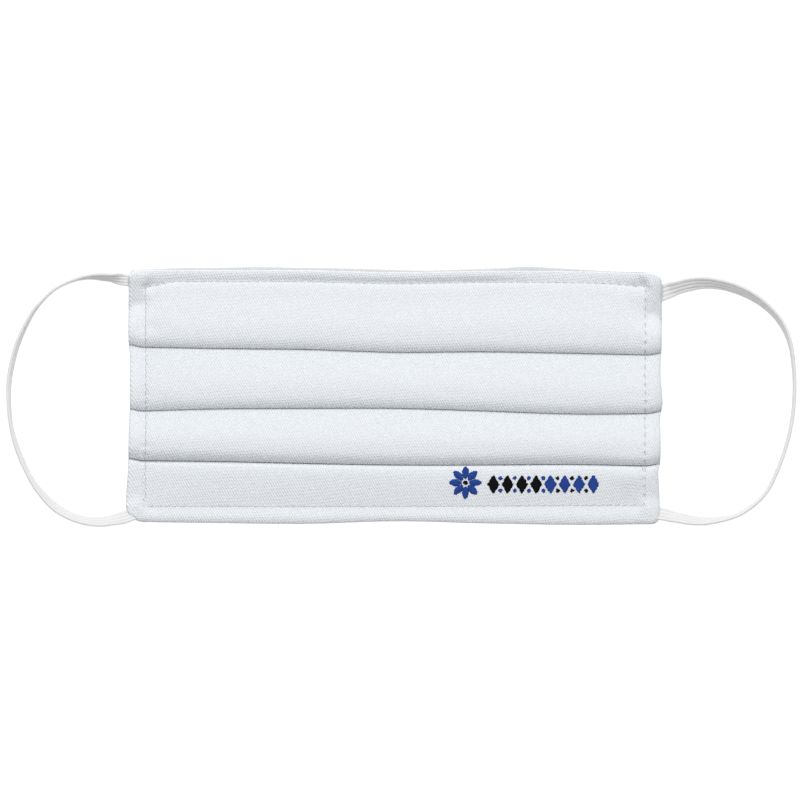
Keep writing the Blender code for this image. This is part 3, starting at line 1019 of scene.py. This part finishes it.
def map_parts(tree, name):
    """A map's place, as a vector and as its two parts."""
    uv = tree.nodes.new("ShaderNodeUVMap")
    uv.uv_map = name
    parts = tree.nodes.new("ShaderNodeSeparateXYZ")
    tree.links.new(uv.outputs["UV"], parts.inputs["Vector"])
    return uv.outputs["UV"], parts.outputs["X"], parts.outputs["Y"]


def from_middle_of_turn(tree, turns):
    """How far a count of turns is from the middle of its present turn: 0 to 0.5."""
    share = math_node(tree, "FRACT", turns)
    return math_node(tree, "ABSOLUTE", math_node(tree, "SUBTRACT", share, 0.5))


def needle_holes(tree, seam, crossing):
    """1 where stitches go into the cloth, on one map's rows of stitches between the other's."""
    _, across, along = map_parts(tree, seam)
    _, from_crossing, _ = map_parts(tree, crossing)
    at_hole = range_node(tree, from_middle_of_turn(tree, along), 0.5 - HOLE_SHARE, 0.5)
    off_row = range_node(tree, math_node(tree, "ABSOLUTE", across), ROW_HALF_WIDTH, HOLE_REACH)
    on_row = math_node(tree, "SUBTRACT", 1.0, off_row)
    between = range_node(tree, from_crossing, -CROSSING_REACH, 0.0)
    return math_node(tree, "MULTIPLY", math_node(tree, "MULTIPLY", at_hole, on_row), between)


def mix_colours(tree, share, low, high):
    """Each colour is three numbers, or the output of another node."""
    node = tree.nodes.new("ShaderNodeMix")
    node.data_type = "RGBA"
    tree.links.new(share, node.inputs[0])
    for socket, colour in zip(node.inputs[6:8], (low, high)):
        if hasattr(colour, "links"):
            tree.links.new(colour, socket)
        else:
            socket.default_value = (*colour, 1.0)
    return node.outputs[2]


def add_bump(tree, shader, height, distance):
    node = tree.nodes.new("ShaderNodeBump")
    set_inputs(node, {"Strength": 1.0, "Distance": distance})
    tree.links.new(height, node.inputs["Height"])
    tree.links.new(node.outputs["Normal"], shader.inputs["Normal"])


def woven_material(cloth, stitched):
    """Cotton: diagonal twill lines broken up by the yarns, and needle holes where it is sewn."""
    material, tree, shader = new_material(cloth.name)
    place, u, v = map_parts(tree, "flat")
    drift = math_node(tree, "MULTIPLY", noise_node(tree, place, DRIFT_SCALE), DRIFT)
    twill = stripes(tree, u, v, cloth.angle, cloth.pitch, drift)
    yarn = stripes(tree, u, v, YARN_ANGLE, cloth.pitch * YARN_PITCH_SHARE, drift)
    weave = math_node(tree, "ADD", math_node(tree, "MULTIPLY", twill, TWILL_AMOUNT),
                      math_node(tree, "MULTIPLY", yarn, YARN_AMOUNT))
    fuzz = math_node(tree, "MULTIPLY", noise_node(tree, place, FUZZ_SCALE), FUZZ_AMOUNT)
    if stitched:
        hem = on_hems(tree)
        boldness = math_node(tree, "ADD", 1.0, math_node(tree, "MULTIPLY", hem, HEM_BOLDER))
        weave = math_node(tree, "MULTIPLY", weave, boldness)
        fuzz = math_node(tree, "ADD", fuzz, math_node(tree, "MULTIPLY", hem, HEM_PALER))
    height = math_node(tree, "ADD", math_node(tree, "SUBTRACT", weave, WEAVE_LEVEL), fuzz)
    colour = mix_colours(tree, height, cloth.low, cloth.high)
    if stitched:
        height, colour = with_holes(tree, height, colour)
    set_inputs(shader, COTTON_SURFACE)
    tree.links.new(colour, shader.inputs["Base Color"])
    add_bump(tree, shader, height, cloth.depth)
    return material


def with_holes(tree, height, colour):
    """The cloth's height, lowered at the needle holes, and its colour, darkened there with painted
    shade.
    """
    holes = math_node(tree, "MAXIMUM",
                      needle_holes(tree, "hem_seams", "side_seams"),
                      needle_holes(tree, "side_seams", "hem_seams"))
    height = math_node(tree, "SUBTRACT", height, math_node(tree, "MULTIPLY", holes, HOLE_DEPTH))
    # Painted shade: the cloth's colour is darkened in the needle holes
    shade = math_node(tree, "MULTIPLY", holes, HOLE_SHADE)
    return height, mix_colours(tree, shade, colour, HOLE_SHADE_COLOUR)


def on_hems(tree):
    """1 on the hems, where the cloth is doubled."""
    _, from_side, _ = map_parts(tree, "side_seams")
    _, from_hem, _ = map_parts(tree, "hem_seams")
    nearest = math_node(tree, "MINIMUM", from_side, from_hem)
    return math_node(tree, "SUBTRACT", 1.0, range_node(tree, nearest, -HEM_BLUR, HEM_BLUR))


def elastic_material():
    """Knitted elastic: fine threads over the ribs that the mesh has, with painted shade darker between
    the ribs.
    """
    material, tree, shader = new_material("elastic")
    _, u, v = map_parts(tree, "flat")
    _, _, rib = map_parts(tree, "ribs")
    cross = stripes(tree, u, v, 90.0, KNIT_ACROSS)
    along = stripes(tree, u, v, 0.0, KNIT_ALONG)
    knit = math_node(tree, "ADD", math_node(tree, "MULTIPLY", cross, KNIT_AMOUNT),
                     math_node(tree, "MULTIPLY", along, KNIT_AMOUNT))
    height = math_node(tree, "ADD", knit, KNIT_LEVEL)
    # Painted shade: the colour is darkened in the grooves between the ribs
    in_groove = range_node(tree, from_middle_of_turn(tree, rib), GROOVE_START, 0.5)
    groove = math_node(tree, "MULTIPLY", in_groove, GROOVE_SHADE)
    set_inputs(shader, ELASTIC_SURFACE)
    colour = mix_colours(tree, height, ELASTIC_LOW, ELASTIC_HIGH)
    shaded = mix_colours(tree, groove, colour, GROOVE_SHADE_COLOUR)
    tree.links.new(shaded, shader.inputs["Base Color"])
    add_bump(tree, shader, height, KNIT_BUMP)
    return material


def thread_material(name):
    """Spun thread, a little uneven in colour."""
    thread = THREADS[name]
    material, tree, shader = new_material(name)
    coordinates = tree.nodes.new("ShaderNodeTexCoord")
    spots = noise_node(tree, coordinates.outputs["Object"], THREAD_SPOTS)
    darker = tuple(THREAD_DARKER * part for part in thread.colour)
    tree.links.new(mix_colours(tree, spots, darker, thread.colour), shader.inputs["Base Color"])
    set_inputs(shader, {"Roughness": THREAD_ROUGHNESS, "Specular IOR Level": thread.shine})
    add_bump(tree, shader, spots, THREAD_BUMP)
    return material


# Body: outer cloth, lining and the lining's rolled edge

RIM_RINGS = 180
RIM_ARC = 8
RIM_FROM_SIDE = 4 * MM
RIM_FADE = 8 * MM
RIM_END_HEIGHT = 0.6
PAD_TUCK = 0.2 * MM
TUCK_GROWS_OVER = 2 * MM


def make_outer_cloth():
    cloth = ply_piece("outer_cloth", True, FINE, woven_material(TWILL, stitched=True))
    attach(cloth, "root")
    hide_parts("pleated_panel")
    return cloth


def make_lining():
    plain = woven_material(PLAIN, stitched=False)
    lining = ply_piece("lining", False, COARSE, plain)
    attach(lining, "root")
    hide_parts("pleated_panel")
    return plain


def make_lining_edge(material):
    """The lining's rolled edge, which lies under the top hem and shows as a rim beyond it."""
    half = BODY_WIDTH / 2 - RIM_FROM_SIDE
    rings = []
    for i in range(RIM_RINGS + 1):
        x = blend(-half, half, i / RIM_RINGS)
        end = ease((half - abs(x)) / RIM_FADE)
        tuck = blend(PAD_TUCK, LINING_TUCK, ease((side_distance(x) - PAD_REACH) / TUCK_GROWS_OVER))
        height = LINING_HEIGHT * blend(RIM_END_HEIGHT, 1.0, end)
        rings.append(rim_ring(x, lining_shows(x), tuck, height))
    piece = tube_piece("lining_edge_rolled", rings, material)
    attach(piece, "root")
    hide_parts("lining_edge")
    return piece


def rim_ring(x, shows, tuck, height):
    """A strip with a half-round outer edge."""
    edge = line_down("top", x)
    ring = [(x, edge + tuck, 0.0)]
    radius = height / 2
    for i in range(RIM_ARC + 1):
        angle = -math.pi / 2 + math.pi * i / RIM_ARC
        down = edge - shows + radius - radius * math.cos(angle)
        ring.append((x, down, radius + radius * math.sin(angle)))
    ring.append((x, edge + tuck, height))
    return [Vector((MIDDLE_X + x, TOP_Y - down, up)) for x, down, up in ring]


def tube_faces(count, size):
    """Faces of a closed tube through this many rings, each of this many points."""
    faces = []
    for i in range(count - 1):
        for j in range(size):
            a = i * size + j
            b = i * size + (j + 1) % size
            faces.append((a, b, b + size, a + size))
    faces.append(tuple(range(size)))
    faces.append(tuple((count - 1) * size + j for j in range(size)))
    return faces


def tube_piece(name, rings, material):
    """A closed tube through rings of points, with a flat place for each vertex."""
    vertices = [point for ring in rings for point in ring]
    faces = tube_faces(len(rings), len(rings[0]))
    piece = outward(new_piece(name, vertices, faces, material))
    set_map(piece, "flat", ring_places(rings))
    return piece


def ring_places(rings):
    """Distance along the tube, and distance round it."""
    places = []
    along = 0.0
    middle = sum(rings[0], Vector()) / len(rings[0])
    for ring in rings:
        next_middle = sum(ring, Vector()) / len(ring)
        along += (next_middle - middle).length
        middle = next_middle
        around = 0.0
        before = ring[0]
        for point in ring:
            around += (point - before).length
            before = point
            places.append((along, around))
    return places


# Ear loops

RIBS = 4
RIB_DEPTH = 0.2 * MM
RIB_POINTS = 8
RIB_POWER = 0.6
STRAP_EDGE = 0.3
STRAP_EDGE_GROWTH = 2.2
LOOP_STEP = 0.6 * MM
TANGENT_STEP = 0.1 * MM
MOUTH_LENGTH = 3.0 * MM


def strap_half_height(lean, width):
    return (STRAP_WIDTH * width * math.sin(lean) + STRAP_THICKNESS * math.cos(lean)) / 2


def sewn_end(corner, distance):
    place = pocket_mouth(corner) + distance * pocket_direction(corner)
    return Vector((MIDDLE_X + place.x, TOP_Y - place.y))


def pocket_height(corner):
    """The height of the middle of the wall around the end of the strap."""
    inside = pocket_mouth(corner) + POCKET_DEPTH / 2 * pocket_direction(corner)
    return lying_height(inside.x, inside.y) * relief(inside.x, inside.y)


def loop_route(side, reach, bends):
    """Points in plan along the strap's middle, and its lean at each."""
    top, bottom = [corner for corner in CORNERS if corner.side == side]
    buried = POCKET_DEPTH - CLEARANCE
    points = [sewn_end(top, distance) for distance in (buried, 0.0, -STRAIGHT_END)]
    for bend in bends:
        x = MIDDLE_X + SIDE_SIGN[side] * (BODY_WIDTH / 2 + reach * bend.out)
        points.append(Vector((x, TOP_Y - BODY_HEIGHT * bend.down)))
    points += [sewn_end(bottom, distance) for distance in (-STRAIGHT_END, 0.0, buried)]
    leans = [bends[0].lean] * 3 + [bend.lean for bend in bends] + [bends[-1].lean] * 3
    return points, leans


def strap_outline():
    """The strap's section across its width: ribs on both faces and rounded edges."""
    half_width = STRAP_WIDTH / 2
    count = RIBS * RIB_POINTS
    upper = []
    for i in range(1, count):
        across = half_width * (1 - 2 * i / count)
        rib = abs(math.sin(math.pi * RIBS * i / count))
        from_edge = 1 - abs(across) / half_width
        edge = min(1.0, STRAP_EDGE_GROWTH * from_edge**0.5 + STRAP_EDGE)
        upper.append((across, edge * (STRAP_THICKNESS / 2 - RIB_DEPTH * (1 - rib**RIB_POWER))))
    lower = [(across, -up) for across, up in reversed(upper)]
    return [(half_width, 0.0)] + upper + [(-half_width, 0.0)] + lower


def rib_places():
    """For each point of the outline, the ribs between it and the strap's edge."""
    count = RIBS * RIB_POINTS
    upper = [min(max(i / RIB_POINTS, 0.5), RIBS - 0.5) for i in range(count + 1)]
    return upper + upper[-2:0:-1]


def strap_rings(side, reach, bends):
    points, leans = loop_route(side, reach, bends)
    knots = [0.0]
    for here, there in zip(points, points[1:]):
        knots.append(knots[-1] + (there - here).length)
    ends = [corner for corner in CORNERS if corner.side == side]
    outline = strap_outline()
    rings = []
    count = round(knots[-1] / LOOP_STEP)
    for i in range(count + 1):
        at = knots[-1] * i / count
        corner = ends[0] if at < knots[-1] / 2 else ends[1]
        outside = min(at - knots[1], knots[-2] - at)
        lean, width = strap_turn(corner, outside, smooth_curve(knots, leans, at))
        middle = smooth_curve(knots, points, at)
        along = smooth_curve(knots, points, at + TANGENT_STEP) - middle
        up = blend(pocket_height(corner), 0.0, ease(outside / TWIST_LENGTH))
        centre = Vector((middle.x, middle.y, max(up, strap_half_height(lean, width))))
        rings.append(strap_ring(outline, side, centre, along, lean, width))
    return rings, knots[-1]


def strap_turn(corner, outside, full_lean):
    """The strap's lean, and the share of its width, at a distance outside its pocket."""
    turned = ease(outside / TWIST_LENGTH)
    at_mouth = corner.lean * ease(1 + outside / MOUTH_LENGTH)
    return math.radians(blend(at_mouth, full_lean, turned)), blend(corner.width, 1.0, turned)


def strap_ring(outline, side, centre, along, lean, width):
    along = along.normalized()
    outwards = Vector((along.y, -along.x)) * -SIDE_SIGN[side]
    across = Vector((outwards.x * math.cos(lean), outwards.y * math.cos(lean), math.sin(lean)))
    through = Vector((-outwards.x * math.sin(lean), -outwards.y * math.sin(lean), math.cos(lean)))
    return [centre + across * place * width + through * up for place, up in outline]


def make_ear_loops():
    elastic = elastic_material()
    for side, reach, bends in (
        ("left", LEFT_REACH, LEFT_BENDS),
        ("right", RIGHT_REACH, RIGHT_BENDS),
    ):
        rings, length = strap_rings(side, reach, bends)
        piece = tube_piece(f"elastic_{side}", rings, elastic)
        set_map(piece, "ribs", [(0.0, rib) for rib in rib_places()] * len(rings))
        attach(piece, "root")
        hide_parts(f"ear_loop_{side}")
        print(f"elastic_{side}: {length * 1000:.0f} mm long")


# Threads: topstitching and embroidery

THREAD_SIDES = 6
ABOVE_ALL = 0.1


class Surface:
    """The front of the outer cloth, for laying threads on."""

    def __init__(self, piece):
        points = [vertex.co for vertex in piece.data.vertices]
        faces = [tuple(face.vertices) for face in piece.data.polygons]
        self.tree = BVHTree.FromPolygons(points, faces)

    def at(self, x, down, lift):
        """The place on the front of the cloth at x and down, raised by lift."""
        start = Vector((MIDDLE_X + x, TOP_Y - down, ABOVE_ALL))
        hit = self.tree.ray_cast(start, Vector((0, 0, -1)))[0]
        return Vector((start.x, start.y, (hit.z if hit else 0.0) + lift))


def thread_rings(path, radius):
    """The points of a thin tube along a path, ring by ring."""
    vertices = []
    for i, point in enumerate(path):
        after = path[min(i + 1, len(path) - 1)]
        before = path[max(i - 1, 0)]
        along = (after - before).normalized()
        side = along.cross(Vector((0, 0, 1))).normalized()
        up = side.cross(along)
        for j in range(THREAD_SIDES):
            angle = 2 * math.pi * j / THREAD_SIDES
            vertices.append(point + radius * (math.cos(angle) * side + math.sin(angle) * up))
    return vertices


def joined_threads(name, paths, radius, material):
    vertices = []
    faces = []
    for path in paths:
        start = len(vertices)
        vertices += thread_rings(path, radius)
        faces += [tuple(start + i for i in face) for face in tube_faces(len(path), THREAD_SIDES)]
    return outward(new_piece(name, vertices, faces, material))


# How a thread arches from hole to hole: the places that its path goes through, as shares of its
# length, how full the arch is, and how far it sinks at its ends and rises in its middle
Arch = namedtuple("Arch", "places power sink rise")
STITCH_ARCH = Arch((0.0, 0.12, 0.35, 0.65, 0.88, 1.0), 0.5, 0.22 * MM, 0.03 * MM)
SATIN_ARCH = Arch((0.0, 0.1, 0.3, 0.5, 0.7, 0.9, 1.0), 0.6, 0.1 * MM, 0.22 * MM)
STITCH_SHARE = 0.8
STITCH_RADIUS = 0.15 * MM


def arched_path(surface, start, stop, arch):
    """One thread over the cloth, from a hole to the next."""
    path = []
    for share in arch.places:
        x = blend(start[0], stop[0], share)
        down = blend(start[1], stop[1], share)
        rise = math.sin(math.pi * share) ** arch.power
        path.append(surface.at(x, down, blend(-arch.sink, arch.rise, rise)))
    return path


def stitch_run(surface, places):
    """Stitches between the places where the needle goes in."""
    paths = []
    for here, there in zip(places, places[1:]):
        gap = (1 - STITCH_SHARE) / 2
        start = (blend(here[0], there[0], gap), blend(here[1], there[1], gap))
        stop = (blend(there[0], here[0], gap), blend(there[1], here[1], gap))
        paths.append(arched_path(surface, start, stop, STITCH_ARCH))
    return paths


def make_topstitching(surface):
    left = LEFT_STITCH - BODY_WIDTH / 2
    right = BODY_WIDTH / 2 - RIGHT_STITCH
    top = [(x, top_stitch_down(x)) for x in np.arange(left, right, TOP_STITCH_PITCH)]
    bottom = [(x, bottom_stitch_down(x)) for x in np.arange(left, right, BOTTOM_STITCH_PITCH)]
    paths = stitch_run(surface, top) + stitch_run(surface, bottom)
    for x in (left, right):
        downs = np.arange(top_stitch_down(x), bottom_stitch_down(x), SIDE_STITCH_PITCH)
        paths += stitch_run(surface, [(x, down) for down in downs])
    piece = joined_threads("topstitching", paths, STITCH_RADIUS, thread_material("white_thread"))
    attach(piece, "root")


SATIN_PITCH = 0.34 * MM
SATIN_RADIUS = 0.21 * MM
SATIN_UNEVEN = 0.5 * MM
ROSETTE_MIDDLE = (25.2 * MM, 76.6 * MM)
ROSETTE_RADIUS = 5.9 * MM
PETALS = 8
PETAL_ROOT = 1.2 * MM
PETAL_WIDTH = 2.4 * MM
PETAL_POWER = 0.8
EYE_SIZE = 1.8 * MM
BAND_START = 32.6 * MM
BAND_END = 73.4 * MM
BAND_DOWN = 77.2 * MM
BAND_HEIGHT = 6.6 * MM
LOZENGES = 8
LOZENGE_SHARE = 0.86
SMALL_FROM_MIDDLE = 0.34
SMALL_WIDTH = 1.5 * MM
SMALL_HEIGHT = 1.7 * MM


def uneven(place):
    """A different number from -1 to 1 at each place."""
    return noise.noise(Vector((place[0], place[1], 0.0)) / SATIN_RADIUS)


def satin_path(surface, start, stop):
    """One satin stitch, with uneven ends."""
    along = (Vector(stop) - Vector(start)).normalized()
    start = Vector(start) + SATIN_UNEVEN * uneven(start) * along
    stop = Vector(stop) + SATIN_UNEVEN * uneven(stop) * along
    return arched_path(surface, start, stop, SATIN_ARCH)


def satin_leaf(surface, root, tip, width):
    """Satin stitches across a leaf from its root to its tip, widest in the middle."""
    root = Vector(root)
    tip = Vector(tip)
    along = (tip - root).normalized()
    across = Vector((-along.y, along.x))
    count = round((tip - root).length / SATIN_PITCH)
    paths = []
    for i in range(1, count):
        share = i / count
        half = width / 2 * math.sin(math.pi * share) ** PETAL_POWER
        middle = root.lerp(tip, share)
        paths.append(satin_path(surface, middle - half * across, middle + half * across))
    return paths


def satin_lozenge(surface, middle, down, width, height):
    """Satin stitches across a lozenge."""
    count = round(height / SATIN_PITCH)
    paths = []
    for i in range(1, count):
        share = i / count
        half = width / 2 * (1 - abs(2 * share - 1))
        if half > SATIN_PITCH / 2:
            row = down + height * (share - 0.5)
            paths.append(satin_path(surface, (middle - half, row), (middle + half, row)))
    return paths


def rosette(surface):
    """Petals, and the eye between them."""
    cx, cy = ROSETTE_MIDDLE
    petals = []
    for i in range(PETALS):
        angle = 2 * math.pi * i / PETALS
        root, tip = [
            (cx + reach * math.cos(angle), cy + reach * math.sin(angle))
            for reach in (PETAL_ROOT, ROSETTE_RADIUS)
        ]
        petals += satin_leaf(surface, root, tip, PETAL_WIDTH)
    return petals, satin_lozenge(surface, cx, cy, EYE_SIZE, EYE_SIZE)


def make_embroidery(surface):
    """A plain border: a rosette and a row of lozenges with small ones between them."""
    blue, black = rosette(surface)
    pitch = (BAND_END - BAND_START) / LOZENGES
    for i in range(LOZENGES):
        middle = BAND_START + pitch * (i + 0.5)
        colour, other = (black, blue) if i < LOZENGES / 2 else (blue, black)
        colour += satin_lozenge(surface, middle, BAND_DOWN, pitch * LOZENGE_SHARE, BAND_HEIGHT)
        if i + 1 < LOZENGES:
            for side in (-1, 1):
                row = BAND_DOWN + side * BAND_HEIGHT * SMALL_FROM_MIDDLE
                other += satin_lozenge(surface, middle + pitch / 2, row, SMALL_WIDTH, SMALL_HEIGHT)
    for name, paths in (("blue", blue), ("black", black)):
        thread = thread_material(f"{name}_thread")
        piece = joined_threads(f"embroidery_{name}", paths, SATIN_RADIUS, thread)
        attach(piece, "root")


# Stage, light and camera

FLOOR_HALF = 4.0
FLOOR_DROP = 0.02 * MM
FLOOR_SURFACE = {
    "Base Color": (0.25, 0.25, 0.25, 1.0),
    "Roughness": 1.0,
    "Specular IOR Level": 0.0,
    "Emission Color": WHITE,
    "Emission Strength": 0.88,
}
WORLD_STRENGTH = 0.40
KEY_SIZE = 1.0
KEY_ENERGY = 20.4
KEY_DISTANCE = 1.5
KEY_ELEVATION = math.radians(61)


def make_floor():
    material, _, shader = new_material("floor")
    set_inputs(shader, FLOOR_SURFACE)
    half = FLOOR_HALF
    corners = [(-half, -half, 0), (half, -half, 0), (half, half, 0), (-half, half, 0)]
    floor = new_piece("floor", corners, [(0, 1, 2, 3)], material, smooth=False)
    floor.location.z = -FLOOR_DROP


def make_light():
    world = bpy.data.worlds.new("studio")
    bpy.context.scene.world = world
    world.use_nodes = True
    set_inputs(world.node_tree.nodes["Background"], {"Color": WHITE, "Strength": WORLD_STRENGTH})
    lamp = bpy.data.lights.new("key", "AREA")
    lamp.shape = "RECTANGLE"
    lamp.size = KEY_SIZE
    lamp.size_y = KEY_SIZE
    lamp.energy = KEY_ENERGY
    key = bpy.data.objects.new("key", lamp)
    direction = Vector((0.0, math.cos(KEY_ELEVATION), math.sin(KEY_ELEVATION)))
    key.location = KEY_DISTANCE * direction
    key.rotation_euler = (-key.location).to_track_quat("-Z", "Y").to_euler()
    bpy.context.scene.collection.objects.link(key)


def make_camera():
    lens = bpy.data.cameras.new("camera")
    lens.lens = LENS
    lens.sensor_width = SENSOR
    camera = bpy.data.objects.new("camera", lens)
    distance = VIEW_WIDTH * LENS / SENSOR
    target_y = TOP_Y - BODY_HEIGHT / 2 + VIEW_MIDDLE.y
    camera.location = (MIDDLE_X + VIEW_MIDDLE.x, target_y, distance + TOP_LAYER)
    bpy.context.scene.collection.objects.link(camera)
    bpy.context.scene.camera = camera


def set_colours():
    bpy.context.scene.view_settings.view_transform = "Standard"
    bpy.context.scene.view_settings.look = "None"


make_camera()
set_colours()
make_light()
make_floor()
outer = make_outer_cloth()
lining_cloth = make_lining()
make_lining_edge(lining_cloth)
make_ear_loops()
front = Surface(outer)
make_topstitching(front)
make_embroidery(front)
